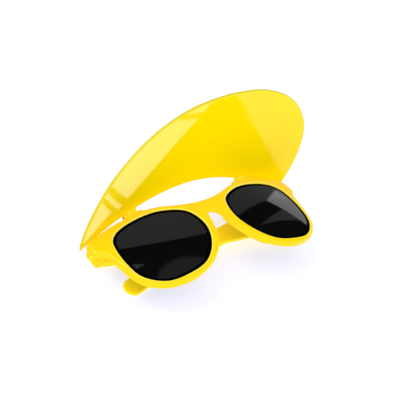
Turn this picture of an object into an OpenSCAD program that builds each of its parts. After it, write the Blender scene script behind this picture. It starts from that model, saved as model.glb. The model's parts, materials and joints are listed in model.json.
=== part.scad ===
// Sunglasses with a sun visor hinged on the brow, lying on their folded temples.
//
// Every module is drawn as worn: X to the wearer's left, Y backwards, Z up, with the
// origin on the front of the bridge, half-way up the lenses. at_rest() then lays the
// folded pair down, lenses up, so that the temples' outer sides are on the table.

/* [Front] */
// Radius of the curve that the front follows, across and down
front_r = 165; // [160:1:175]
// Thickness of the front from its face to its back
front_t = 3.4; // [3.3:0.1:3.8]
// Overall width of the front across its end pieces
front_w = 136; // [134:1:137]
// Depth of the lens face behind the front's face
lens_set = 0.8; // [0.7:0.1:0.9]
// Thickness of a lens
lens_t = 1.6; // [1.4:0.1:1.7]
// How far a lens reaches into its groove
lens_grip = 0.6; // [0.4:0.1:0.7]

/* [Temples] */
// Length of a temple from its hinge to its tip
temple_l = 128.5; // [120:0.5:130]
// Angle of the temples below the front's square, as worn
temple_drop = 10.5; // [10:0.5:11.5]
// How much further than square the lower temple folds
overfold = 4.2; // [4.1:0.1:4.4]
// Distance of a temple's outer side from its hinge axis
temple_out = 3; // [2.9:0.1:3.1]
// Radius of the hinge knuckles
knuckle_r = 2.8; // [2.5:0.1:2.8]

/* [Visor] */
// Thickness of the visor's sheet
visor_t = 1.6; // [1.4:0.1:1.8]
// Radius of the visor's arch from side to side
visor_r = 300; // [290:5:320]
// Angle of the visor below the front's square
visor_tilt = 8.6; // [8:0.2:9]
// Distance of a visor hinge from the middle of the bridge
bracket_x = 37.4; // [37:0.2:38]
// Width of a visor bracket across both ears
bracket_w = 12.6; // [12.4:0.2:13]
// Radius of the visor's hinge barrels and bracket ears
barrel_r = 1.5; // [1.4:0.05:1.6]

/* [Hidden] */

shell_yellow = [1.0, 0.84, 0.05];
visor_yellow = [1.0, 0.86, 0.1, 0.85];
lens_black = [0.05, 0.05, 0.06];
steel = [0.75, 0.75, 0.77];

round_fn = 64;
ball_fn = 200;
arch_fn = 360;

// Overshoot of a cut past the surface it opens, and play of a part in its seat
over = 1;
play = 0.05;
// Depths just past everything in front of the front and behind the temples
past_front = -20;
past_back = 45;
// Reach of a side view or plan view on each side, past the temple or the visor
temple_reach = 30;
visor_reach = 20;

// End pieces and temple hinges
end_x = front_w / 2;
end_front = 9;
end_back = 21;
hinge_x = end_x - temple_out;
hinge_y = 23.5;
hinge_z = 18.2;
hinge_gap = 0.1;
groove_gap = 0.1;
swing_gap = 0.35;
ear_half = 2.6;
ear_low = 13.7;
ear_high = 22.6;
knuckle_low = 16.3;
knuckle_high = 20.1;
screw_r = 0.75;
screw_head_r = 1.45;
screw_head_t = 0.8;
screw_short = 0.2;
slot_w = 0.4;
slot_depth = 0.4;
temple_inner = 1.2;
temple_thin = 0.7;
temple_end_t = 1;
tip_r = 5.5;
tip_s = temple_l - tip_r;
bend_s = 92;
bend_k = 0.002;

// Nose rests: the place and lean of each one's upper end
rest_place = [7.4, 4.6, -3];
rest_lean = [-3, 151, 0];
rest_r = 2.2;
rest_l = 16;

// Visor sheet and its hinges
visor_y = 0.05;
visor_z = 32.4;
visor_back = -1.4;
visor_sweep = 24.6;
visor_half = 70;
barrel_y = 9.4;
barrel_z = 27.7;
ear_w = 3.2;
pin_r = 0.65;
base_low = 25.2;
base_high = 26;
base_depth = 4;
tab_high = 31.2;
tab_low = 29.8;
tab_reach = 2.2;

// Table plane and the middle of the whole length, for the rest pose
table_y = hinge_y + temple_out;
rest_mid = 3.48;

// Half outline of the front, from the top of the bridge out and round to the nose
front_half = [
    [0, 17.2], [6.5, 17.6], [14.7, 19.9], [25, 24], [35, 26.2], [45, 26.4], [55, 26],
    [61.5, 25.4], [end_x - 2.2, 25], [end_x - 0.5, 24.1], [end_x, 22.5], [end_x, 15.8],
    [end_x - 0.5, 14.2], [end_x - 2, 13.2], [64, 10.6], [62.9, 5], [62, -1], [61.1, -6.5],
    [59.7, -11.4], [57.2, -16], [53.2, -20.2], [47.2, -24], [40, -26], [33, -26.4],
    [26.3, -25.2], [20, -22.6], [14, -18], [9.8, -12.2], [6.8, -6], [5, 0], [4.2, 4.2],
    [2.7, 7.5], [0, 8.8]];

// Outline of an end piece's solid part, behind the front
end_outline = [
    [61, 25.2], [end_x - 2.6, 25], [end_x - 0.6, 24], [end_x, 22.5], [end_x, 15.6],
    [end_x - 0.5, 14.4], [end_x - 2, 13.7], [62, 13.7]];

// Outline of the wearer's left lens opening
lens_mid = [35.5, 0];
lens_loop = [
    [59.5, 0], [58.6, 12.6], [55.4, 18.6], [48.5, 21.7], [35.5, 22.4], [23.8, 20],
    [12.9, 13], [9.8, 0], [14.3, -12.3], [23.4, -21], [35.5, -23.4], [47.8, -21.4],
    [57, -12.3]];

// Half outline of the visor's free edge, from the middle of its front to a wing tip
visor_half_edge = [
    [0, 70.6], [21, 68.6], [38, 62.4], [51.6, 52], [62, 36.8], [66.8, 23.6], [69.2, 10],
    [70, -2], [69.7, -12], [68.8, -20], [67.3, -25.3]];

// Upper and lower edges of a temple's side view, from the hinge to the start of the tip
temple_top = [[0, 4.4], [12, 4.4], [40, 4.7], [80, 4.9], [100, 5.1], [115, 5.4], [tip_s, tip_r]];
temple_low = [[0, 4.4], [6, 4.9], [14, 5.3], [40, 6.1], [80, 6], [100, 5.7], [115, 5.6],
              [tip_s, tip_r]];

// One Catmull-Rom span from b to c
function span(a, b, c, d, t) =
    0.5 * (2 * b + (c - a) * t + (2 * a - 5 * b + 4 * c - d) * t * t
           + (3 * b - a - 3 * c + d) * t * t * t);
// A smooth closed loop through the points, n steps to a span
function smooth_loop(p, n) = let (m = len(p))
    [for (i = [0 : m - 1]) for (k = [0 : n - 1])
        span(p[(i + m - 1) % m], p[i], p[(i + 1) % m], p[(i + 2) % m], k / n)];
// A smooth open line through the points, n steps to a span
function smooth_line(p, n) = let (m = len(p))
    concat([for (i = [0 : m - 2]) for (k = [0 : n - 1])
        span(p[max(i - 1, 0)], p[i], p[i + 1], p[min(i + 2, m - 1)], k / n)], [p[m - 1]]);
// A half outline that starts and ends on the middle line, made whole
function both_sides(p) = concat(p, [for (i = [len(p) - 2 : -1 : 1]) [-p[i].x, p[i].y]]);
// The same points from last to first
function backwards(p) = [for (i = [len(p) - 1 : -1 : 0]) p[i]];
// How far the temple's middle line has dropped at distance s from the hinge
function bend(s) = s > bend_s ? bend_k * (s - bend_s) ^ 2 : 0;
// Forward distance of the visor's inner edge at distance x from the middle
function inner_edge(x) = visor_back - visor_sweep * (abs(x) / visor_half) ^ 1.8;

// Lays the folded pair on the table, lenses up
module at_rest() {
    translate([0, -rest_mid, table_y]) rotate([-90, 0, 0]) children();
}

// Draws its child on one side of the middle: 1 is the wearer's left, -1 the right
module on_side(side) {
    mirror([side < 0 ? 1 : 0, 0, 0]) children();
}

// An outline seen from the front, as a prism between two depths
module prism(near, far) {
    translate([0, far, 0]) rotate([90, 0, 0]) linear_extrude(far - near) children();
}

// An outline as a curved plate between two depths behind the front's face
module curved_plate(near, far) {
    intersection() {
        prism(past_front, past_back) children();
        difference() {
            translate([0, front_r, 0]) sphere(r = front_r - near, $fn = ball_fn);
            translate([0, front_r, 0]) sphere(r = front_r - far, $fn = ball_fn);
        }
    }
}

// The lens opening's outline, grown by a margin all round
module lens_outline(grow) {
    k = 1 + grow / 24;
    translate(lens_mid) scale([k, k]) translate(-lens_mid) polygon(smooth_loop(lens_loop, 6));
}

// An upright cylinder on a temple hinge's axis
module on_hinge(r, low, high) {
    translate([hinge_x, hinge_y, low]) cylinder(r = r, h = high - low, $fn = round_fn);
}

// A cylinder along X on the visor hinge's axis
module on_barrel(r, from, to) {
    translate([from, barrel_y, barrel_z]) rotate([0, 90, 0])
        cylinder(r = r, h = to - from, $fn = round_fn);
}

// Solid behind one corner of the front, which carries the hinge ears
module end_block() {
    intersection() {
        translate([0, front_r, 0]) sphere(r = front_r, $fn = ball_fn);
        prism(end_front, end_back) polygon(end_outline);
    }
}

// One hinge ear of the front, between two heights
module front_ear(low, high) {
    on_hinge(knuckle_r, low, high);
    translate([hinge_x - ear_half, end_back - 1, low])
        cube([2 * ear_half, hinge_y - end_back + 1, high - low]);
}

// A nose rest moulded on the inner edge of a rim
module nose_rest() {
    translate(rest_place) rotate(rest_lean) {
        cylinder(r = rest_r, h = rest_l, $fn = round_fn);
        sphere(r = rest_r, $fn = round_fn);
        translate([0, 0, rest_l]) sphere(r = rest_r, $fn = round_fn);
    }
}

// Everything of the front on one side of the middle, apart from the curved plate
module front_side() {
    end_block();
    front_ear(ear_low, knuckle_low - hinge_gap);
    front_ear(knuckle_high + hinge_gap, ear_high);
    nose_rest();
}

// What is cut out of the front on one side of the middle
module front_cuts() {
    prism(past_front, past_back) lens_outline(0);
    curved_plate(lens_set - groove_gap, lens_set + lens_t + groove_gap)
        lens_outline(lens_grip + groove_gap);
    on_hinge(knuckle_r + swing_gap, knuckle_low - hinge_gap, knuckle_high + hinge_gap);
    on_hinge(screw_r, ear_low - over, ear_high + over);
    on_hinge(screw_head_r + play, ear_high - screw_head_t, past_back);
    translate([bracket_x - bracket_w / 2 - play, barrel_y - base_depth / 2 - play, base_low])
        cube([bracket_w + 2 * play, 2 * base_depth, base_depth]);
}

module frame_front() {
    color(shell_yellow) at_rest() difference() {
        union() {
            curved_plate(0, front_t) polygon(smooth_loop(both_sides(front_half), 4));
            for (side = [-1, 1]) on_side(side) front_side();
        }
        for (side = [-1, 1]) on_side(side) front_cuts();
    }
}

module lens(side) {
    color(lens_black) at_rest() on_side(side)
        curved_plate(lens_set, lens_set + lens_t) lens_outline(lens_grip);
}

// Side view of a temple: s along it, t up
module temple_side() {
    top = smooth_line(temple_top, 5);
    low = smooth_line(temple_low, 5);
    polygon(concat(
        [for (p = top) [p.x, p.y - bend(p.x)]],
        [for (a = [75 : -15 : -75]) [tip_s + tip_r * cos(a), tip_r * sin(a) - bend(tip_s)]],
        [for (p = backwards(low)) [p.x, -p.y - bend(p.x)]]));
}

// Plan view of a temple: s along it, w outwards from the hinge axis
module temple_plan() {
    l = temple_l;
    polygon([[0, -temple_inner], [12, -temple_inner], [30, 0.2], [46, temple_thin],
             [l - 14, temple_thin], [l - 1, temple_out - temple_end_t - 0.6],
             [l, temple_out - temple_end_t], [l, temple_out - 0.6], [l - 1, temple_out],
             [0.8, temple_out], [0, temple_out - 0.3]]);
}

// A temple folded square across the back, before its overfold
module folded_temple() {
    difference() {
        union() {
            translate([hinge_x, hinge_y, hinge_z]) rotate([0, -temple_drop, 0]) mirror([1, 0, 0])
                intersection() {
                    prism(-temple_reach, temple_reach) temple_side();
                    translate([0, 0, -temple_reach]) linear_extrude(2 * temple_reach)
                        temple_plan();
                }
            on_hinge(knuckle_r, knuckle_low, knuckle_high);
        }
        on_hinge(knuckle_r + swing_gap, ear_low - ear_half, knuckle_low);
        on_hinge(knuckle_r + swing_gap, knuckle_high, ear_high + ear_half);
        on_hinge(screw_r + play, ear_low, ear_high);
    }
}

// Turns its child about a temple hinge's axis, further folded for a positive angle
module fold(angle) {
    translate([hinge_x, hinge_y, 0]) rotate([0, 0, angle])
        translate([-hinge_x, -hinge_y, 0]) children();
}

module temple(side, angle) {
    color(shell_yellow) at_rest() on_side(side) fold(angle) folded_temple();
}

module hinge_screw(side) {
    color(steel) at_rest() on_side(side) difference() {
        union() {
            on_hinge(screw_r, ear_low + screw_short, ear_high - screw_head_t / 2);
            on_hinge(screw_head_r, ear_high - screw_head_t, ear_high - play);
        }
        translate([hinge_x - knuckle_r, hinge_y - slot_w / 2, ear_high - play - slot_depth])
            cube([2 * knuckle_r, slot_w, over]);
    }
}

// Plan view of the visor's sheet: forward is -Y
module visor_plan() {
    edge = smooth_line(visor_half_edge, 5);
    edge_loop = concat([for (p = edge) [p.x, -p.y]],
        [for (x = [66 : -3 : -66]) [x, -inner_edge(x)]],
        [for (p = backwards(edge)) if (p.x > 0) [-p.x, -p.y]]);
    polygon(edge_loop);
}

// The arched sheet itself
module visor_sheet() {
    translate([0, visor_y, visor_z]) rotate([visor_tilt, 0, 0]) intersection() {
        translate([0, 0, -visor_reach]) linear_extrude(2 * visor_reach) visor_plan();
        translate([0, 2 * visor_reach, -visor_r]) rotate([90, 0, 0]) difference() {
            cylinder(r = visor_r + visor_t / 2, h = 2 * visor_half, $fn = arch_fn);
            translate([0, 0, -over])
                cylinder(r = visor_r - visor_t / 2, h = 2 * (visor_half + over), $fn = arch_fn);
        }
    }
}

// The barrel under the visor between a bracket's ears, with the web that joins it on
module visor_barrel() {
    half = bracket_w / 2 - ear_w - hinge_gap;
    difference() {
        union() {
            on_barrel(barrel_r, bracket_x - half, bracket_x + half);
            translate([bracket_x - half, barrel_y - barrel_r, barrel_z])
                cube([2 * half, 2 * barrel_r, tab_high - barrel_z]);
            translate([bracket_x - half, barrel_y - tab_reach, tab_low])
                cube([2 * half, tab_reach, tab_high - tab_low]);
        }
        on_barrel(pin_r + play, bracket_x - half - over, bracket_x + half + over);
    }
}

module visor_shade() {
    color(visor_yellow) at_rest() {
        visor_sheet();
        for (side = [-1, 1]) on_side(side) visor_barrel();
    }
}

// A bracket let into the top of the brow: a base with two ears
module visor_bracket(side) {
    left = bracket_x - bracket_w / 2;
    color(shell_yellow) at_rest() on_side(side) difference() {
        union() {
            translate([left, barrel_y - base_depth / 2, base_low])
                cube([bracket_w, base_depth, base_high - base_low]);
            for (x = [left, left + bracket_w - ear_w]) {
                on_barrel(barrel_r, x, x + ear_w);
                translate([x, barrel_y - barrel_r, base_low])
                    cube([ear_w, 2 * barrel_r, barrel_z - base_low]);
            }
        }
        on_barrel(pin_r, left - over, left + bracket_w + over);
    }
}

module visor_pin(side) {
    color(steel) at_rest() on_side(side)
        on_barrel(pin_r, bracket_x - bracket_w / 2 + 0.1, bracket_x + bracket_w / 2 - 0.1);
}

frame_front();
lens(1);  // lens_left
lens(-1);  // lens_right
temple(1, 0);  // temple_left
temple(-1, overfold);  // temple_right
hinge_screw(1);  // hinge_screw_left
hinge_screw(-1);  // hinge_screw_right
visor_shade();
visor_bracket(1);  // visor_bracket_left
visor_bracket(-1);  // visor_bracket_right
visor_pin(1);  // visor_pin_left
visor_pin(-1);  // visor_pin_right
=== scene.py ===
"""Looks of the sunglasses with a hinged sun visor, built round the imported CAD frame.

Shapes are written in millimetres as the pair is worn, as in the CAD: X to the wearer's left,
Y backwards, Z up, from the front of the bridge. rows() turns them into the frame's metres.
"""
import json
import math

import bmesh
import bpy
import numpy as np
from mathutils import Matrix, Vector
from mathutils.geometry import delaunay_2d_cdt


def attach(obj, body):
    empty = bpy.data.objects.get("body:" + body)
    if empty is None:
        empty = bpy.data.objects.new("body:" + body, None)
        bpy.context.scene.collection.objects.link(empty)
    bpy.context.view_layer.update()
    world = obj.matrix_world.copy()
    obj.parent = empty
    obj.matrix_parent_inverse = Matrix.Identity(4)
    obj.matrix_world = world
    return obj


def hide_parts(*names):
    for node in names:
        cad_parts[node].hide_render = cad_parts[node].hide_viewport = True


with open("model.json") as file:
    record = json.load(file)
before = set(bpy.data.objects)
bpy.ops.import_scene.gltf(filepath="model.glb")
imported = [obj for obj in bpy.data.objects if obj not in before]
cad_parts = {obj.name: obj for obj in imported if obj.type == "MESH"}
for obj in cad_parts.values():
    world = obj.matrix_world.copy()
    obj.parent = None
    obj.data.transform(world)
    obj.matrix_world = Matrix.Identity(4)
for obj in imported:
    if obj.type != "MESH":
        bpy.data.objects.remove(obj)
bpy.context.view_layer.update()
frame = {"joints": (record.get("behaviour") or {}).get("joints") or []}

MM = 0.001
# Points nearer than this, in metres, are one
WELD = 2e-6

# ---------------------------------------------------------------- sizes, as in the CAD
# Front: radius of its curve, thickness, and where the end piece starts and ends behind it
FRONT_R, FRONT_T = 165.0, 3.4
END_NEAR, END_BACK = 1.6, 21
# Painted highlight: a paler band on the bevel round the lens openings, its width and its depth
BEVEL_W, BEVEL_DEPTH = 0.5, 0.62
# Temple hinge: axis, levels of the ears and the knuckle, radii, and where the ears are rooted
HINGE = (65.0, 23.5, 18.2)
EAR_LOW, KNUCKLE_LOW, KNUCKLE_HIGH, EAR_HIGH = 13.7, 16.3, 20.1, 22.6
KNUCKLE_R, SWING_R, EAR_ROOT = 2.8, 3.15, 20.4
PLAY = 0.1
# Hinge screw: shank, head, lower end, thickness of the head, and half width and depth of the slot
SCREW_R, SCREW_HEAD_R, SCREW_LOW, HEAD_T = 0.75, 1.45, 13.9, 0.75
SLOT_HALF, SLOT_DEPTH = 0.2, 0.4
# Nose rest: upper end, direction, length and largest radius
REST_AT, REST_AXIS, REST_L, REST_R = (6.2, 4.6, 5), (0.46, 0.06, -0.886), 29, 2.6
# Lens: depth of its face, thickness, width held in the groove, mean radius, and width of its edge
# band painted black as the groove's shade
LENS_SET, LENS_T, GROOVE, LENS_R, LENS_LINE = 0.8, 1.6, 0.5, 24, 2.3
# Temple: length, tip radius, where its top starts to bend down and how much, drop and overfold
TEMPLE_L, TIP_R = 128.5, 5.5
TIP_S = TEMPLE_L - TIP_R
BEND_FROM, BEND = 92, 0.002
DROP, OVERFOLD = math.radians(10.5), math.radians(4.2)
# Visor: radius of its arch, thickness, tilt, place, and the curve of its rear edge
VISOR_R, VISOR_T, VISOR_TILT = 300.0, 1.6, math.radians(8.6)
VISOR_AT = (0.05, 32.4)
REAR_X, REAR_MIDDLE, REAR_DEPTH, REAR_POWER, VISOR_HALF_W = 66.2, -1.4, 24.6, 1.8, 70
# Visor bracket: place, width, ear width, base, gap in its recess, barrel, pin, and visor's tab
BRACKET_X, BRACKET_W, EAR_W = 37.4, 12.6, 3.2
BASE_LOW, BASE_HIGH, BASE_D = 25.2, 26.0, 4.0
RECESS_GAP, RECESS_BACK = 0.08, 4.1
BARREL_Y, BARREL_Z, BARREL_R, PIN_R = 9.4, 27.7, 1.5, 0.65
TAB_REACH, TAB_LOW, TAB_HIGH = 2.2, 29.9, 31.2
# Steps along outlines, and the least fillet, for cutters
FINE, FINEST, SHARP = 0.8, 0.4, 0.02

# Outlines: front (x, z), one half of it
FRONT_HALF = [
    (0, 17.2), (6.5, 17.6), (14.7, 19.9), (25, 24), (35, 26.2), (45, 26.4), (55, 26),
    (61.5, 25.4), (65.8, 25), (67.5, 24.1), (68, 22.5), (68, 15.8), (67.5, 14.2), (66, 13.2),
    (64, 10.6), (62.9, 5), (62, -1), (61.1, -6.5), (59.7, -11.4), (57.2, -16), (53.2, -20.2),
    (47.2, -24), (40, -26), (33, -26.4), (26.3, -25.2), (20, -22.6), (14, -18), (9.8, -12.2),
    (6.8, -6), (5, 0), (4.2, 4.2), (2.7, 7.5), (0, 8.8)]
# Left end piece seen from the front (x, z)
END_OUTLINE = [
    (61, 24.9), (65.2, 24.7), (67.2, 23.8), (67.85, 22.4), (67.85, 15.7), (67.3, 14.6),
    (65.8, 13.9), (62, 13.9)]
# Left lens opening (x, z) and its middle
LENS_MID = (35.5, 0)
LENS_LOOP = [
    (59.5, 0), (58.6, 12.6), (55.4, 18.6), (48.5, 21.7), (35.5, 22.4), (23.8, 20), (12.9, 13),
    (9.8, 0), (14.3, -12.3), (23.4, -21), (35.5, -23.4), (47.8, -21.4), (57, -12.3)]
# Visor's front edge (x, forward), one half of it
VISOR_HALF = [
    (0, 70.6), (21, 68.6), (38, 62.4), (51.6, 52), (62, 36.8), (66.8, 23.6), (69.2, 10),
    (70, -2), (69.7, -12), (68.8, -20), (67.3, -25.3)]
# Temple along its length: height above and below its middle line, and its two faces outwards
TEMPLE_TOP = [(0, 4.4), (12, 4.4), (40, 4.7), (80, 4.9), (100, 5.1), (115, 5.4), (TIP_S, TIP_R)]
TEMPLE_LOW = [(0, 4.4), (6, 4.9), (14, 5.3), (40, 6.1), (80, 6), (100, 5.7), (115, 5.6),
              (TIP_S, TIP_R)]
TEMPLE_INNER = [(0, -1.2), (12, -1.2), (30, 0.2), (46, 0.7), (114.5, 0.7), (127.5, 1.3),
                (128.5, 1.5)]
TEMPLE_OUTER = [(0, 2.7), (0.8, 3), (127, 3), (128.5, 2.9)]

# ---------------------------------------------------------------- places
joint = next(j for j in frame["joints"] if j["name"] == "temple_hinge_left")
_, hinge_y, hinge_z = (v / MM for v in joint["pos_m"])
RISE = hinge_y - HINGE[2]
TABLE = hinge_z + HINGE[1]


def rows(p):
    """Worn places, in mm, as places in the frame, in metres."""
    p = np.asarray(p, float)
    return np.stack([p[:, 0], p[:, 2] + RISE, TABLE - p[:, 1]], 1) * MM


def worn(p):
    """Places in the frame, in metres, as worn places, in mm."""
    p = np.asarray(p, float) / MM
    return np.stack([p[:, 0], TABLE - p[:, 2], p[:, 1] - RISE], 1)


# ---------------------------------------------------------------- curves and outlines
def spline(points, step, closed=False):
    """Even steps along a Catmull-Rom curve through the points."""
    p = np.array(points, float)
    n = len(p)
    i = np.arange(n if closed else n - 1)
    near = [p[(i + k) % n] if closed else p[np.clip(i + k, 0, n - 1)] for k in (-1, 0, 1, 2)]
    a, b, c, d = (q[:, None, :] for q in near)
    t = np.linspace(0, 1, 16, endpoint=False)[None, :, None]
    q = 0.5 * (2 * b + (c - a) * t + (2 * a - 5 * b + 4 * c - d) * t**2
               + (3 * b - a - 3 * c + d) * t**3)
    return even(np.vstack([q.reshape(-1, p.shape[1]), p[:1] if closed else p[-1:]]), step, closed)


def even(q, step, closed=False):
    """Even steps along a line of straight pieces."""
    q = np.asarray(q, float)
    if closed and np.linalg.norm(q[0] - q[-1]) > 1e-6:
        q = np.vstack([q, q[:1]])
    run = np.concatenate([[0], np.cumsum(np.linalg.norm(np.diff(q, axis=0), axis=1))])
    stops = np.linspace(0, run[-1], max(4, round(run[-1] / step)) + 1)
    out = np.stack([np.interp(stops, run, q[:, k]) for k in range(q.shape[1])], 1)
    return out[:-1] if closed else out


def arc(x, y, r, start, end, n=12):
    """Points round a circle, angles in degrees."""
    a = np.radians(np.linspace(start, end, n))
    return np.stack([x + r * np.cos(a), y + r * np.sin(a)], 1)


def both_sides(half):
    """A half outline from middle line to middle line, made whole."""
    p = np.array(half, float)
    return np.vstack([p, (p[-2:0:-1] * (-1, 1))])


def distance(p, ring):
    """Distance of each point from a closed outline."""
    a, d = ring, np.roll(ring, -1, 0) - ring
    ap = p[:, None] - a[None]
    t = np.clip((ap * d).sum(2) / (d * d).sum(1), 0, 1)
    return np.linalg.norm(ap - t[..., None] * d, axis=2).min(1)


def inside(p, ring):
    """Whether each point is inside a closed outline."""
    x, y = p[:, :1], p[:, 1:]
    a, b = ring, np.roll(ring, -1, 0)
    over = (a[:, 1] > y) != (b[:, 1] > y)
    cross = (b[:, 0] - a[:, 0]) * (y - a[:, 1]) / (b[:, 1] - a[:, 1] + 1e-12) + a[:, 0]
    return (over & (x < cross)).sum(1) % 2 == 1


def turned(ring, left):
    """The outline with its inside on the left, or on the right."""
    x, y = ring[:, 0], ring[:, 1]
    area = (x * np.roll(y, -1) - np.roll(x, -1) * y).sum()
    return ring if (area > 0) == left else ring[::-1]


def offset(ring, d):
    """The outline moved to its left by d, square to its sides."""
    fwd = np.roll(ring, -1, 0) - ring
    fwd /= np.linalg.norm(fwd, axis=1)[:, None]
    n = np.stack([-fwd[:, 1], fwd[:, 0]], 1)
    m = n + np.roll(n, 1, 0)
    m /= np.maximum((m * m).sum(1) / 2, 0.8)[:, None]
    return ring + m * d


# ---------------------------------------------------------------- meshes
def new_object(name, verts, faces):
    """An object with one cleaned mesh."""
    mesh = bpy.data.meshes.new(name)
    mesh.from_pydata([tuple(v) for v in verts], [], faces)
    o = bpy.data.objects.new(name, mesh)
    bpy.context.scene.collection.objects.link(o)
    clean(o)
    return o


def clean(o):
    """Welds doubled points, drops stray faces, closes pinholes and turns all faces outwards."""
    bm = bmesh.new()
    bm.from_mesh(o.data)
    bmesh.ops.remove_doubles(bm, verts=bm.verts, dist=WELD)
    bmesh.ops.dissolve_degenerate(bm, edges=bm.edges, dist=WELD / 4)
    stray = [f for f in bm.faces if not any(len(e.link_faces) == 2 for e in f.edges)]
    bmesh.ops.delete(bm, geom=stray, context="FACES")
    rims = [e for e in bm.edges if len(e.link_faces) == 1]
    bmesh.ops.holes_fill(bm, edges=rims, sides=12)
    bmesh.ops.recalc_face_normals(bm, faces=bm.faces)
    bm.to_mesh(o.data)
    bm.free()


def plate(name, rings, near, far, place, grid, rounds=4, lines=()):
    """A closed plate with rounded edges.

    rings holds (outline, near fillet, far fillet), the outside first and then the holes. near
    and far give the depth of the two faces at each point, and place(points, depth) its place.
    lines are further distances from the edges with a row of points each.
    """
    row = 0.25
    rings = [(turned(np.asarray(r, float), k == 0), f, b) for k, (r, f, b) in enumerate(rings)]
    points, edges, count = [], [], 0
    for ring, _, _ in rings:
        n = len(ring)
        edges += [(count + i, count + (i + 1) % n) for i in range(n)]
        points.append(ring)
        count += n
    reach = max(max(f, b) for _, f, b in rings)

    def gap(p):
        return np.stack([distance(p, r) for r, _, _ in rings], 1)

    def within(p):
        ok = inside(p, rings[0][0])
        for r, _, _ in rings[1:]:
            ok &= ~inside(p, r)
        return ok

    for ring, f, b in rings:
        big = max(f, b)
        for d in [big * (1 - math.cos(math.pi / 2 * k / rounds)) for k in range(1, rounds + 1)]:
            p = offset(ring, d)
            points.append(p[within(p) & (gap(p).min(1) > d - 0.02)])
        for d in (big + row, *lines):
            p = offset(ring, d)
            points.append(p[within(p) & (gap(p).min(1) > d - 0.05)])
    lo, hi = rings[0][0].min(0), rings[0][0].max(0)
    x, y = np.meshgrid(np.arange(lo[0], hi[0], grid), np.arange(lo[1], hi[1], grid * 0.866))
    x[1::2] += grid / 2
    p = np.stack([x.ravel(), y.ravel()], 1)
    p = p[within(p)]
    points.append(p[gap(p).min(1) > max(reach + row, *lines, 0) + grid * 0.4])
    flat = np.vstack(points)
    out = delaunay_2d_cdt([Vector(v) for v in flat], edges, [], 0, 1e-7)
    flat, tris = np.array([v[:] for v in out[0]]), np.array(out[2])
    tris = tris[within(flat[tris].mean(1))]

    d = gap(flat)
    lift = []
    for side in (1, 2):
        r = np.array([ring[side] for ring in rings])
        rise = r - np.sqrt(np.maximum(r**2 - (r - np.minimum(d, r))**2, 0))
        lift.append(rise.max(1))
    front, back = near(flat), far(flat)
    room = 0.48 * np.abs(back - front)
    way = np.sign(back - front)
    front = front + way * np.minimum(lift[0], room)
    back = back - way * np.minimum(lift[1], room)
    n = len(flat)
    verts = np.vstack([place(flat, front), place(flat, back)])
    seen = {}
    for a, b, c in tris:
        for e in ((a, b), (b, c), (c, a)):
            seen[e] = True
    faces = [tuple(int(v) for v in t) for t in tris]
    faces += [tuple(int(v) + n for v in t[::-1]) for t in tris]
    faces += [(int(b), int(a), int(a) + n, int(b) + n) for a, b in seen if (b, a) not in seen]
    return new_object(name, rows(verts), faces)


def const(v):
    """The same depth at every point."""
    return lambda p: np.full(len(p), float(v))


def upright(p, depth):
    """Outline in X and Y, depth along Z."""
    return np.stack([p[:, 0], p[:, 1], depth], 1)


def across(p, depth):
    """Outline in Y and Z, depth along X."""
    return np.stack([depth, p[:, 0], p[:, 1]], 1)


def slab(name, ring, low, high, place, fillet=SHARP, grid=1.2, rounds=3):
    """A flat plate with the same fillet all round."""
    return plate(name, [(ring, fillet, fillet)], const(low), const(high), place, grid, rounds)


def lathe(name, profile, place, sides=40):
    """A turned solid: profile is (radius, along) from one end to the other, both on the axis."""
    verts, faces = [], []
    for r, h in profile:
        ring = [(r * math.cos(2 * math.pi * k / sides), r * math.sin(2 * math.pi * k / sides), h)
                for k in range(sides)]
        verts += ring
    for i in range(len(profile) - 1):
        for k in range(sides):
            a, b = i * sides + k, i * sides + (k + 1) % sides
            faces.append((a, b, b + sides, a + sides))
    return new_object(name, rows(place(np.array(verts))), faces)


def on_side(side, place):
    """The same place function, mirrored for the wearer's right."""
    def mirrored(*args):
        return place(*args) * (side, 1, 1)
    return mirrored


def combine(target, others, operation):
    """Adds the others to the target, or cuts them out of it, and removes them."""
    group = bpy.data.collections.new("operands")
    for o in others:
        group.objects.link(o)
    m = target.modifiers.new("combine", "BOOLEAN")
    m.operation, m.solver = operation, "EXACT"
    m.operand_type, m.collection = "COLLECTION", group
    made = bpy.data.meshes.new_from_object(
        target.evaluated_get(bpy.context.evaluated_depsgraph_get()))
    target.modifiers.clear()
    target.data = made
    for o in others:
        bpy.data.objects.remove(o)
    bpy.data.collections.remove(group)
    clean(target)


def face_places(o):
    """The middle of each face, as a worn place."""
    co = np.zeros(len(o.data.polygons) * 3)
    o.data.polygons.foreach_get("center", co)
    return worn(co.reshape(-1, 3))


def second_material(o, material, mask):
    """Gives the masked faces another material."""
    o.data.materials.append(material)
    o.data.polygons.foreach_set("material_index", mask.astype(int))


def finish_piece(o, body, node, material, angle=35):
    """Smooths the mesh up to an angle and hangs it on its body in place of its CAD node."""
    o.data.polygons.foreach_set("use_smooth", [True] * len(o.data.polygons))
    o.data.set_sharp_from_angle(angle=math.radians(angle))
    o.data.materials.clear()
    o.data.materials.append(material)
    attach(o, body)
    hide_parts(node)
    o.visible_glossy = False


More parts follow.
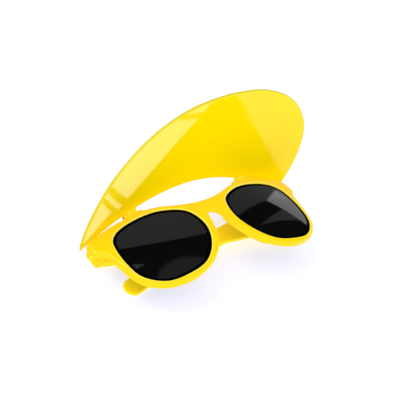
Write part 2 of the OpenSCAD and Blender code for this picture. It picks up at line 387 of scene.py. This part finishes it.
# ---------------------------------------------------------------- materials
class Nodes:
    """A short way to write a node tree."""

    def __init__(self, tree):
        self.tree = tree

    def add(self, kind, inputs=(), **settings):
        n = self.tree.nodes.new(kind)
        for k, v in settings.items():
            setattr(n, k, v)
        for k, v in dict(inputs).items():
            if isinstance(v, bpy.types.NodeSocket):
                self.tree.links.new(v, n.inputs[k])
            else:
                n.inputs[k].default_value = v
        return n

    def noise(self, where, scale, detail=3.0, rough=0.55):
        return self.add("ShaderNodeTexNoise", {
            "Vector": where, "Scale": scale, "Detail": detail, "Roughness": rough}).outputs["Fac"]

    def spread(self, value, low, high, to_low, to_high, smooth=False):
        return self.add("ShaderNodeMapRange", {
            "Value": value, "From Min": low, "From Max": high, "To Min": to_low,
            "To Max": to_high},
            interpolation_type="SMOOTHSTEP" if smooth else "LINEAR").outputs["Result"]

    def mix(self, factor, a, b):
        n = self.add("ShaderNodeMix", data_type="RGBA")
        for socket, v in ((n.inputs[0], factor), (n.inputs[6], a), (n.inputs[7], b)):
            if isinstance(v, bpy.types.NodeSocket):
                self.tree.links.new(v, socket)
            else:
                socket.default_value = v
        return n.outputs[2]

    def maths(self, operation, a, b=0.0, c=0.0):
        return self.add("ShaderNodeMath", {0: a, 1: b, 2: c}, operation=operation).outputs[0]


def new_material(name):
    m = bpy.data.materials.new(name)
    m.use_nodes = True
    m.node_tree.nodes.clear()
    n = Nodes(m.node_tree)
    where = n.add("ShaderNodeTexCoord").outputs["Object"]
    return m, n, where


def shader(n, **sockets):
    """The material's Principled shader and its output. Names are written with _ for a space."""
    s = n.add("ShaderNodeBsdfPrincipled", {k.replace("_", " "): v for k, v in sockets.items()})
    n.add("ShaderNodeOutputMaterial", {"Surface": s.outputs[0]})
    return s


IOR = 1.5
RELIEF = 0.0001
YELLOW_SCATTER = (1.0, 0.6, 0.05)
# Colours of the painted glow that stands for light through the thin plastic
MOULDING_GLOW, SHEET_GLOW = (1.0, 0.76, 0.0, 1), (1.0, 0.8, 0.0, 1)


def plastic(name, light, dark, grain, glow=0.16):
    """Moulded gloss plastic: cloudy pigment, flow lines, orange peel and fine wear in the gloss.

    A faint glow, painted light, stands for the light that comes through the thin coloured plastic
    and lifts faces in shade.
    """
    m, n, where = new_material(name)
    cloud = n.noise(where, 28 * grain, 4)
    flow = n.add("ShaderNodeMapping", {"Vector": where, "Scale": (1, 6, 1.6)}).outputs[0]
    streak = n.noise(flow, 60 * grain, 3)
    both = n.maths("MULTIPLY_ADD", streak, 0.4, n.maths("MULTIPLY", cloud, 0.6))
    colour = n.mix(n.spread(both, 0.36, 0.64, 0, 1), light, dark)
    peel = n.noise(where, 900, 2)
    fine = n.noise(where, 5200, 2, 0.6)
    height = n.maths("MULTIPLY_ADD", fine, 0.25, peel)
    bump = n.add("ShaderNodeBump", {"Height": height, "Strength": 0.05, "Distance": RELIEF})
    wear = n.spread(n.noise(where, 240, 5, 0.65), 0.35, 0.7, 0.1, 0.17)
    shader(n, Base_Color=colour, Roughness=wear, Normal=bump.outputs[0], IOR=IOR,
           Specular_IOR_Level=0.25, Subsurface_Weight=0.12, Subsurface_Scale=0.0015,
           Subsurface_Radius=YELLOW_SCATTER, Emission_Color=MOULDING_GLOW,
           Emission_Strength=glow)
    return m


def visor_sheet_material():
    """Translucent gloss sheet: faint flow lines and cloudy tint, painted shade along its cut edge,
    and a painted glow.
    """
    m, n, where = new_material("visor_gloss")
    rim = n.add("ShaderNodeAttribute", attribute_name="edge_gap").outputs["Fac"]
    cloud = n.noise(where, 18, 4)
    flow = n.noise(n.add("ShaderNodeMapping", {"Vector": where, "Scale": (1, 1, 7)}).outputs[0],
                   34, 3)
    tint = n.spread(n.maths("MULTIPLY_ADD", flow, 0.35, n.maths("MULTIPLY", cloud, 0.65)),
                    0.35, 0.65, 0, 1)
    body = n.mix(tint, (0.99, 0.73, 0.001, 1), (0.98, 0.705, 0.001, 1))
    # Near the cut edge: painted shade, a slightly duller tint and then a dark olive line, for
    # light lost along the sheet's edge
    soft = n.spread(rim, 0.6, 3.2, 1, 0, True)
    body = n.mix(n.maths("MULTIPLY", soft, 0.35), body, (0.93, 0.72, 0.004, 1))
    edge = n.spread(rim, 0.15, 0.95, 1, 0, True)
    colour = n.mix(n.maths("MULTIPLY", edge, 0.75), body, (0.55, 0.50, 0.006, 1))
    peel = n.noise(where, 420, 2)
    bump = n.add("ShaderNodeBump", {"Height": peel, "Strength": 0.004, "Distance": RELIEF})
    wear = n.spread(n.noise(where, 160, 5, 0.65), 0.35, 0.7, 0.015, 0.035)
    # The glow is painted light, standing for what shines through the translucent sheet
    shader(n, Base_Color=colour, Roughness=wear, Normal=bump.outputs[0], IOR=IOR,
           Subsurface_Weight=0.15, Subsurface_Radius=YELLOW_SCATTER,
           Subsurface_Scale=0.002, Emission_Color=SHEET_GLOW, Emission_Strength=0.23)
    return m


def lens_material():
    """Near-black polished lens, a shade lighter towards its lower half, with faint wipe marks."""
    m, n, where = new_material("lens_polished")
    height = n.add("ShaderNodeSeparateXYZ", {"Vector": where}).outputs["Y"]
    shade = n.spread(height, -0.03, 0.022, 1, 0)
    cloud = n.noise(where, 40, 3)
    tint = n.maths("MULTIPLY_ADD", cloud, 0.3, n.maths("MULTIPLY", shade, 0.7))
    colour = n.mix(tint, (0.0022, 0.0022, 0.0026, 1), (0.0034, 0.0033, 0.0036, 1))
    wipe = n.add("ShaderNodeMapping", {"Vector": where, "Rotation": (0, 0, 0.6),
                                       "Scale": (1, 14, 1)}).outputs[0]
    marks = n.spread(n.noise(wipe, 90, 5, 0.7), 0.4, 0.75, 0.02, 0.05)
    bump = n.add("ShaderNodeBump", {"Height": n.noise(where, 700, 2), "Strength": 0.01,
                                    "Distance": RELIEF})
    shader(n, Base_Color=colour, Roughness=marks, Normal=bump.outputs[0], IOR=IOR)
    return m


def lens_groove_shade_material():
    """The lens's ground edge in its groove, painted matt black without gloss as the groove's
    shade, faintly streaked.
    """
    m, n, where = new_material("lens_edge_groove_shade")
    grind = n.noise(n.add("ShaderNodeMapping", {"Vector": where, "Scale": (9, 9, 1)}).outputs[0],
                    300, 3)
    colour = n.mix(grind, (0.0006, 0.0005, 0.0005, 1), (0.0016, 0.0014, 0.0013, 1))
    shader(n, Base_Color=colour, Roughness=n.spread(grind, 0.3, 0.7, 0.55, 0.8),
           Specular_IOR_Level=0.0)
    return m


def steel_material():
    """Bright turned steel: fine rings round the axis and a cloudy finish."""
    m, n, where = new_material("steel_turned")
    rings = n.noise(n.add("ShaderNodeMapping", {"Vector": where, "Scale": (1, 20, 20)}).outputs[0],
                    700, 3)
    colour = n.mix(n.noise(where, 900, 3), (0.66, 0.66, 0.68, 1), (0.5, 0.5, 0.52, 1))
    rough = n.spread(rings, 0.3, 0.7, 0.2, 0.36)
    bump = n.add("ShaderNodeBump", {"Height": rings, "Strength": 0.15, "Distance": 0.00005})
    shader(n, Base_Color=colour, Metallic=1.0, Roughness=rough, Normal=bump.outputs[0])
    return m


# Each glow is painted light; the temples' is strongest, to lift them where they lie in shade under
# the front
FRAME_GLOSS = plastic("frame_gloss", (0.96, 0.655, 0.002, 1), (0.95, 0.63, 0.001, 1), 1.0,
                      glow=0.23)
TEMPLE_GLOSS = plastic("temple_gloss", (0.97, 0.72, 0.002, 1), (0.95, 0.69, 0.001, 1), 1.3,
                       glow=0.29)
BRACKET_GLOSS = plastic("bracket_gloss", (0.965, 0.745, 0.002, 1), (0.94, 0.705, 0.001, 1), 2.0)
# Paler yellow painted on the lens bevel as a highlight
BEVEL_HIGHLIGHT = plastic("bevel_painted_highlight", (1.0, 0.94, 0.17, 1), (1.0, 0.90, 0.12, 1), 2.0, glow=0.2)
VISOR_GLOSS = visor_sheet_material()
LENS_GLOSS = lens_material()
# Matt black for the lens's edge band: painted shade of the groove
LENS_GROOVE_SHADE = lens_groove_shade_material()
STEEL = steel_material()


# ---------------------------------------------------------------- front
def front_surface(p, depth):
    """A place on the front's curve, at a depth behind its face."""
    y = FRONT_R - np.sqrt((FRONT_R - depth)**2 - (p**2).sum(1))
    return np.stack([p[:, 0], y, p[:, 1]], 1)


def lens_ring(grow=0.0):
    """The left lens opening, made larger all round by about grow."""
    p = (np.array(LENS_LOOP) - LENS_MID) * (1 + grow / LENS_R) + LENS_MID
    return spline(p, FINE, True)


def end_place(p, k):
    """Behind the front's curve at k 0, and on the flat back of the end piece at k 1."""
    y = front_surface(p, np.full(len(p), END_NEAR))[:, 1]
    return np.stack([p[:, 0], y + (END_BACK - y) * k, p[:, 1]], 1)


def ear_ring():
    """Plan of a hinge ear: a half circle round the hinge, run into the end piece."""
    x, y, _ = HINGE
    round_end = arc(x, y, KNUCKLE_R, 0, 180, 24)
    root = [(x - KNUCKLE_R, EAR_ROOT), (x + KNUCKLE_R, EAR_ROOT)]
    return even(np.vstack([round_end, root]), FINEST, True)


def recess_ring():
    """Plan of the recess in the brow that a visor bracket is let into."""
    half = BRACKET_W / 2 + RECESS_GAP
    x0, x1 = BRACKET_X - half, BRACKET_X + half
    y0, y1 = BARREL_Y - BASE_D / 2 - RECESS_GAP, BARREL_Y + RECESS_BACK
    return even([(x0, y0), (x1, y0), (x1, y1), (x0, y1)], FINE, True)


def spindle(name, start, axis, length, r, side):
    """A bar along axis from start that swells to r in its middle."""
    axis = np.array(axis) / np.linalg.norm(axis)
    out = np.cross(axis, (0, 1, 0))
    out /= np.linalg.norm(out)
    up = np.cross(out, axis)
    profile = [(r * math.cos(a)**0.8 + 1e-4, length / 2 * (1 + math.sin(a)))
               for a in np.linspace(-math.pi / 2, math.pi / 2, 27)]

    def place(v):
        return (start + v[:, :1] * out + v[:, 1:2] * up + v[:, 2:] * axis) * (side, 1, 1)
    return lathe(name, profile, place, 28)


def make_front():
    outer, left = spline(both_sides(FRONT_HALF), FINE, True), lens_ring()
    rings = [(outer, 1.15, 0.45), (left, 0.55, 0.4), (left * (-1, 1), 0.55, 0.4)]
    o = plate("front_moulding", rings, const(0), const(FRONT_T), front_surface, 2.2)
    x, y, _ = HINGE
    swing_low, swing_high = KNUCKLE_LOW - PLAY, KNUCKLE_HIGH + PLAY
    adds, cuts = [], []
    for side in (1, -1):
        flat = on_side(side, upright)
        adds.append(plate("end", [(spline(END_OUTLINE, 0.7, True), 0.1, 0.5)], const(0), const(1),
                          on_side(side, end_place), 1.4))
        for low, high in ((EAR_LOW, swing_low), (swing_high, EAR_HIGH)):
            adds.append(slab("ear", ear_ring(), low, high, flat, 0.4, 0.9))
        adds.append(spindle("rest", REST_AT, REST_AXIS, REST_L, REST_R, side))
        cuts.append(slab("swing", arc(x, y, SWING_R, 0, 345, 48), swing_low, swing_high, flat))
        cuts.append(slab("seat", arc(x, y, SCREW_HEAD_R + 0.12, 0, 345, 36), EAR_HIGH - 0.8,
                         EAR_HIGH + 1, flat))
        cuts.append(slab("recess", recess_ring(), BASE_LOW, BASE_LOW + 4, flat))
    combine(o, adds, "UNION")
    combine(o, cuts, "DIFFERENCE")
    finish_piece(o, "front", "frame_front", FRAME_GLOSS, 38)
    p = face_places(o)
    outline = np.stack([np.abs(p[:, 0]), p[:, 2]], 1)
    depth = FRONT_R - np.linalg.norm(p - (0, FRONT_R, 0), axis=1)
    # Faces on the bevel round the lens openings get the paler yellow: a painted highlight
    second_material(o, BEVEL_HIGHLIGHT, (distance(outline, left) < BEVEL_W) & (depth < BEVEL_DEPTH))


def make_lens(name, side):
    ring = lens_ring(GROOVE)
    o = plate(name + "_polished", [(ring, 0.35, 0.35)], const(LENS_SET), const(LENS_SET + LENS_T),
              on_side(side, front_surface), 2.0, lines=(LENS_LINE,))
    finish_piece(o, "front", name, LENS_GLOSS)
    p = face_places(o) * (side, 1, 1)
    # The band along the lens's edge gets matt black: painted groove shade
    second_material(o, LENS_GROOVE_SHADE, distance(p[:, ::2], ring) < LENS_LINE)


# ---------------------------------------------------------------- temples
def temple_place(side, fold):
    """Turns (s along, t up) and w outwards from the hinge axis into a worn place."""
    def place(p, w):
        s, t = p[:, 0], p[:, 1]
        x, y = -s * math.cos(DROP) - t * math.sin(DROP), w
        z = -s * math.sin(DROP) + t * math.cos(DROP)
        turned_x = x * math.cos(fold) - y * math.sin(fold)
        turned_y = x * math.sin(fold) + y * math.cos(fold)
        return np.stack([side * (HINGE[0] + turned_x), HINGE[1] + turned_y, HINGE[2] + z], 1)
    return place


def temple_ring():
    """Side view of a temple, bent down towards its tip."""
    def bend(p):
        p = np.array(p, float)
        p[:, 1] -= np.where(p[:, 0] > BEND_FROM, BEND * (p[:, 0] - BEND_FROM)**2, 0)
        return p
    top = bend(spline(TEMPLE_TOP, 1.0))
    low = spline(TEMPLE_LOW, 1.0)[::-1] * (1, -1)
    tip = arc(TIP_S, 0, TIP_R, 80, -80, 17)
    tip[:, 1] -= BEND * (TIP_S - BEND_FROM)**2
    return even(np.vstack([top, tip, bend(low)]), 1.0, True)


def make_temple(name, side, fold, body):
    """A temple on its knuckle, with room cut for the front's ears."""
    inner, outer = spline(TEMPLE_INNER, 0.5), np.array(TEMPLE_OUTER)
    o = plate(name + "_moulding", [(temple_ring(), 0.95, 0.8)],
              lambda p: np.interp(p[:, 0], inner[:, 0], inner[:, 1]),
              lambda p: np.interp(p[:, 0], outer[:, 0], outer[:, 1]),
              temple_place(side, fold), 2.4)
    x, y, _ = HINGE
    mirror = on_side(side, upright)
    cuts = [slab("cut", arc(x, y, SWING_R, 0, 345, 48), low, high, mirror)
            for low, high in ((EAR_LOW - 5, KNUCKLE_LOW), (KNUCKLE_HIGH, EAR_HIGH + 5))]
    combine(o, cuts, "DIFFERENCE")
    knuckle = slab("knuckle", arc(x, y, KNUCKLE_R, 0, 350, 36), KNUCKLE_LOW, KNUCKLE_HIGH,
                   mirror, 0.3, 0.9)
    combine(o, [knuckle], "UNION")
    finish_piece(o, body, name, TEMPLE_GLOSS, 38)


# ---------------------------------------------------------------- visor
def visor_place(p, h):
    """(x, forward) on the arched sheet, at height h from its middle."""
    y, z = -p[:, 1], np.sqrt((VISOR_R + h)**2 - p[:, 0]**2) - VISOR_R
    c, s = math.cos(VISOR_TILT), math.sin(VISOR_TILT)
    return np.stack([p[:, 0], y * c - z * s + VISOR_AT[0], y * s + z * c + VISOR_AT[1]], 1)


def visor_flat(p):
    """(x, forward) of worn places on the sheet."""
    c, s = math.cos(VISOR_TILT), math.sin(VISOR_TILT)
    y, z = p[:, 1] - VISOR_AT[0], p[:, 2] - VISOR_AT[1]
    return np.stack([p[:, 0], -(y * c + z * s)], 1)


def visor_ring():
    """Plan of the sheet, (x, forward)."""
    half = spline(VISOR_HALF, 1.2)
    x = np.linspace(REAR_X, -REAR_X, 90)
    inner = np.stack([x, REAR_MIDDLE - REAR_DEPTH * (np.abs(x) / VISOR_HALF_W)**REAR_POWER], 1)
    return even(np.vstack([half, inner, half[:0:-1] * (-1, 1)]), 1.2, True)


def barrel_ring():
    """Side view of a visor barrel with its web and tab."""
    y, z, r = BARREL_Y, BARREL_Z, BARREL_R
    tab = [(y + r, TAB_HIGH), (y - TAB_REACH, TAB_HIGH), (y - TAB_REACH, TAB_LOW)]
    loop = np.vstack([arc(y, z, r, -180, 0, 18), tab, arc(y - r - 0.5, 29.2, 0.5, 90, 0, 5)])
    return even(loop, FINEST, True)


def make_visor():
    """The sheet with its two barrels. edge_gap holds each point's distance from the edge."""
    ring = visor_ring()
    o = plate("visor_sheet", [(ring, 0.72, 0.72)], const(-VISOR_T / 2), const(VISOR_T / 2),
              visor_place, 3.0, 5)
    half = BRACKET_W / 2 - EAR_W - PLAY
    adds = [slab("barrel", barrel_ring(), BRACKET_X - half, BRACKET_X + half,
                 on_side(side, across), 0.25, 0.9) for side in (1, -1)]
    combine(o, adds, "UNION")
    co = np.array([v.co for v in o.data.vertices])
    gap = distance(visor_flat(worn(co)), turned(ring, True))
    o.data.attributes.new("edge_gap", "FLOAT", "POINT").data.foreach_set("value", gap)
    finish_piece(o, "visor", "visor_shade", VISOR_GLOSS, 38)


def make_bracket(name, side):
    """A base let into the brow, with two ears."""
    x0, x1 = BRACKET_X - BRACKET_W / 2, BRACKET_X + BRACKET_W / 2
    y, z, r = BARREL_Y, BARREL_Z, BARREL_R
    y0, y1 = y - BASE_D / 2, y + BASE_D / 2
    end_on = on_side(side, across)
    o = slab(name + "_moulding", even([(x0, y0), (x1, y0), (x1, y1), (x0, y1)], 0.6, True),
             BASE_LOW, BASE_HIGH, on_side(side, upright), 0.2, 1.0)
    foot, spread = BASE_LOW + 0.15, r + 0.2
    ear = even(np.vstack([arc(y, z, r, 0, 180, 20), [(y - spread, foot), (y + spread, foot)]]),
               FINEST, True)
    adds = [slab("ear", ear, low, low + EAR_W, end_on, 0.35, 0.8)
            for low in (x0 + 0.02, x1 - EAR_W - 0.02)]
    combine(o, adds, "UNION")
    bore = slab("bore", arc(y, z, PIN_R + 0.02, 0, 345, 30), x0 - 1, x1 + 1, end_on)
    combine(o, [bore], "DIFFERENCE")
    finish_piece(o, "front", name, BRACKET_GLOSS)


def make_screw(name, side):
    """Turned screw with a domed and slotted head."""
    x, y, _ = HINGE
    r, head, top = SCREW_R, SCREW_HEAD_R, EAR_HIGH - 0.05
    under = top - HEAD_T
    profile = [(1e-4, SCREW_LOW), (r - 0.2, SCREW_LOW), (r, SCREW_LOW + 0.2), (r, under),
               (head - 0.1, under), (head, under + 0.1), (head, top - 0.3),
               (head - 0.12, top - 0.12), (head - 0.45, top - 0.03), (1e-4, top)]

    def place(v):
        return (v + (x, y, 0)) * (side, 1, 1)
    o = lathe(name + "_turned", profile, place)
    y0, y1 = y - SLOT_HALF, y + SLOT_HALF
    slot = even([(x - 2, y0), (x + 2, y0), (x + 2, y1), (x - 2, y1)], FINEST, True)
    combine(o, [slab("slot", slot, top - SLOT_DEPTH, top + 1, on_side(side, upright))],
            "DIFFERENCE")
    finish_piece(o, "front", name, STEEL, 30)


def make_pin(name, side):
    """Plain steel pin with chamfered ends."""
    half = BRACKET_W / 2 - 0.1
    r = PIN_R
    profile = [(1e-4, -half), (r - 0.15, -half), (r, -half + 0.2), (r, half - 0.2),
               (r - 0.15, half), (1e-4, half)]

    def place(v):
        return np.stack([side * (BRACKET_X + v[:, 2]), BARREL_Y + v[:, 0], BARREL_Z + v[:, 1]], 1)
    o = lathe(name + "_turned", profile, place, 24)
    finish_piece(o, "front", name, STEEL, 30)


make_front()
make_visor()
make_temple("temple_left", 1, 0.0, "temple_left_arm")
make_temple("temple_right", -1, OVERFOLD, "temple_right_arm")
for side, word in ((1, "left"), (-1, "right")):
    make_lens("lens_" + word, side)
    make_bracket("visor_bracket_" + word, side)
    make_screw("hinge_screw_" + word, side)
    make_pin("visor_pin_" + word, side)

# ---------------------------------------------------------------- floor
FLOOR_HALF, FLOOR_DROP = 1.2, 0.0001
bm = bmesh.new()
bmesh.ops.create_grid(bm, x_segments=24, y_segments=24, size=FLOOR_HALF)
mesh = bpy.data.meshes.new("floor")
bm.to_mesh(mesh)
bm.free()
floor = bpy.data.objects.new("floor", mesh)
bpy.context.scene.collection.objects.link(floor)
floor.location = (0, 0, -FLOOR_DROP)
m, n, where = new_material("paper")
tone = n.mix(n.noise(where, 30, 3), (0.5, 0.53, 0.74, 1), (0.485, 0.515, 0.72, 1))
shader(n, Base_Color=tone, Roughness=0.9, Specular_IOR_Level=0.0,
       Emission_Color=(0.9, 0.91, 1.0, 1), Emission_Strength=0.66)
floor.data.materials.append(m)
floor.visible_glossy = False

# ---------------------------------------------------------------- light
# How soft the edges of the panels are: crisp, along a thin line, and of a window pane
CRISP, LINE, PANE = 0.0008, 0.0007, 0.006
world = bpy.data.worlds.new("studio")
bpy.context.scene.world = world
world.use_nodes = True
world.node_tree.nodes.clear()
n = Nodes(world.node_tree)
way = n.add("ShaderNodeTexCoord").outputs["Generated"]


def side_of(normal, soft=PANE, shift=0.0):
    """1 where a direction is further than shift along the normal, 0 elsewhere."""
    dot = n.add("ShaderNodeVectorMath", {0: way, 1: tuple(normal)}, operation="DOT_PRODUCT")
    return n.spread(dot.outputs["Value"], shift - soft, shift + soft, 0, 1, True)


def both(*masks):
    """The overlap of several masks."""
    out = masks[0]
    for mask in masks[1:]:
        out = n.maths("MULTIPLY", mask, out)
    return out


def times(mask, strength):
    """The mask at a strength."""
    return n.maths("MULTIPLY", mask, strength)


def less(mask):
    """The rest of the sphere."""
    return n.maths("SUBTRACT", 1.0, mask)


def triangle(a, b, c):
    """1 inside the triangle of three directions, named anticlockwise from outside."""
    a, b, c = Vector(a), Vector(b), Vector(c)
    if a.cross(b).dot(c) < 0:
        b, c = c, b
    return both(*(side_of(p.cross(q).normalized(), 0.002) for p, q in ((a, b), (b, c), (c, a))))


# The table's glow as gloss shows it, with the dark patch that the visor's middle mirrors
TO_LEFT, TO_RIGHT, ALONG = (-0.389, -0.136, -0.911), (0.048, 0.229, -0.972), (0.679, -0.384, 0.624)
BEYOND_GLOW, BACK_DIM = 0.5, 0.75
beyond_left = side_of(TO_LEFT, CRISP, 0.4754)
beyond_right = side_of(TO_RIGHT, CRISP, 0.6584)
near_patch = side_of((0.55, -0.33, -0.76), 0.12, 0.7)
bars = both(less(both(side_of(ALONG, LINE, 0.0006), less(side_of(ALONG, LINE, 0.0061)))),
            less(both(side_of(ALONG, LINE, -0.0065), less(side_of(ALONG, LINE, -0.0028)))),
            less(both(side_of(ALONG, 0.0005, 0.0607), less(side_of(ALONG, 0.0005, 0.0645)))))
far_left = side_of(TO_LEFT, CRISP, 0.4694)
band = both(less(beyond_left), bars, n.maths("MAXIMUM", side_of(ALONG, LINE, -0.0065),
                                            less(far_left)))
beyond = both(beyond_left, less(both(beyond_right, near_patch)))
table_glow = n.maths("ADD", band, times(beyond, BEYOND_GLOW))
table_glow = both(table_glow, less(times(side_of((0, 1, 0), 0.15, 0.3), BACK_DIM)))
below = side_of((0, 0, -1), 0.06)

# The room above: bright all round but for the dark window that the lenses mirror
WINDOW_BASE, WALL, DIM_WALL, STRIP = 0.012, 0.85, 0.7, 8.0
GREY_LEFT, GREY_RIGHT = 0.38, 0.22
window = side_of((0.45, 0.5, 0.74), 0.05, 0.67)
across_x = n.add("ShaderNodeSeparateXYZ", {0: way}).outputs["X"]
upper = n.maths("MAXIMUM", side_of((0.31, 0.89, 0.335), 0.004, 0.8023),
                n.spread(across_x, 0.58, 0.62, 0, 1))
grey = both(upper, side_of((-0.513, 0.846, -0.145)))
grey = n.maths("MULTIPLY", grey, n.spread(across_x, 0.3, 0.75, GREY_LEFT, GREY_RIGHT))
low_edge = side_of((0.065, 0.364, -0.929))
streak = both(low_edge, side_of((0.566, -0.822, -0.068)))
wedge = both(side_of((0.494, -0.87, -0.007)), side_of((-0.384, 0.908, -0.165)), less(low_edge))
glow = side_of((0.149, 0.128, 0.981), PANE, 0.966)
corner = triangle((-0.069, 0.494, 0.867), (-0.073, 0.448, 0.891), (-0.01, 0.447, 0.894))
inner = WINDOW_BASE
for mask, strength in ((grey, 1.0), (streak, 1.1), (wedge, 0.22), (glow, 0.24), (corner, 0.6)):
    inner = n.maths("ADD", times(mask, strength), inner)
softbox = (-0.564, -0.799, 0.21)
strip = both(side_of(softbox, 0.03, -0.03), less(side_of(softbox, 0.03, 0.13)),
             side_of((-0.811, 0.527, 0.253), 0.05, 0.8))
dim = side_of((0.823, 0.522, 0.201), 0.15, 0.8)
walls = times(less(times(dim, DIM_WALL)), WALL)
room = n.maths("ADD", both(window, inner), both(less(window), walls))
room = n.maths("ADD", times(strip, STRIP), room)
total = n.maths("ADD", both(below, table_glow), both(less(below), room))

# Gloss sees the panels, matt surfaces a plain soft light, and the camera white
path = n.add("ShaderNodeLightPath")
to_back = n.add("ShaderNodeSeparateXYZ", {0: way}).outputs["Y"]
soft_light = n.mix(n.spread(to_back, -1, 1, 0, 1), (1.0, 1.0, 1.02, 1), (0.58, 0.58, 0.59, 1))
grey_light = n.add("ShaderNodeCombineColor", {0: total, 1: total, 2: total}).outputs[0]
glossy = n.mix(path.outputs["Is Glossy Ray"], soft_light, grey_light)
seen = n.mix(path.outputs["Is Camera Ray"], glossy, (1, 1, 1, 1))
background = n.add("ShaderNodeBackground", {"Color": seen, "Strength": 1.0})
n.add("ShaderNodeOutputWorld", {"Surface": background.outputs[0]})


KEY_AT, KEY_TARGET = Vector((-0.35, 0.25, 0.8)), Vector((0, 0, 0.02))
KEY_SIZE, KEY_WATTS = 0.5, 0.9
data = bpy.data.lights.new("key", "AREA")
data.shape, data.size, data.energy = "DISK", KEY_SIZE, KEY_WATTS
key = bpy.data.objects.new("key", data)
bpy.context.scene.collection.objects.link(key)
key.location = KEY_AT
key.rotation_euler = (KEY_TARGET - KEY_AT).to_track_quat("-Z", "Y").to_euler()

# ---------------------------------------------------------------- camera
# Place as worn, and the directions of the picture's right, up and back in the frame
SENSOR, FOCAL, CLIP = 36.0, 147.17, (0.05, 20.0)
CAMERA_AT = (-493.9, -444.1, -577.6)
RIGHT, UP, BACK = (0.795, -0.561, 0.229), (0.246, 0.645, 0.724), (-0.554, -0.519, 0.651)
cam = bpy.data.objects.new("camera", bpy.data.cameras.new("camera"))
bpy.context.scene.collection.objects.link(cam)
cam.data.sensor_width, cam.data.lens = SENSOR, FOCAL
cam.data.clip_start, cam.data.clip_end = CLIP
turn = Matrix([RIGHT, UP, BACK]).transposed().to_4x4()
spot = Vector((CAMERA_AT[0], CAMERA_AT[1] + RISE, TABLE - CAMERA_AT[2])) * MM
cam.matrix_world = Matrix.Translation(spot) @ turn
bpy.context.scene.camera = cam
bpy.context.scene.view_settings.view_transform = "Standard"
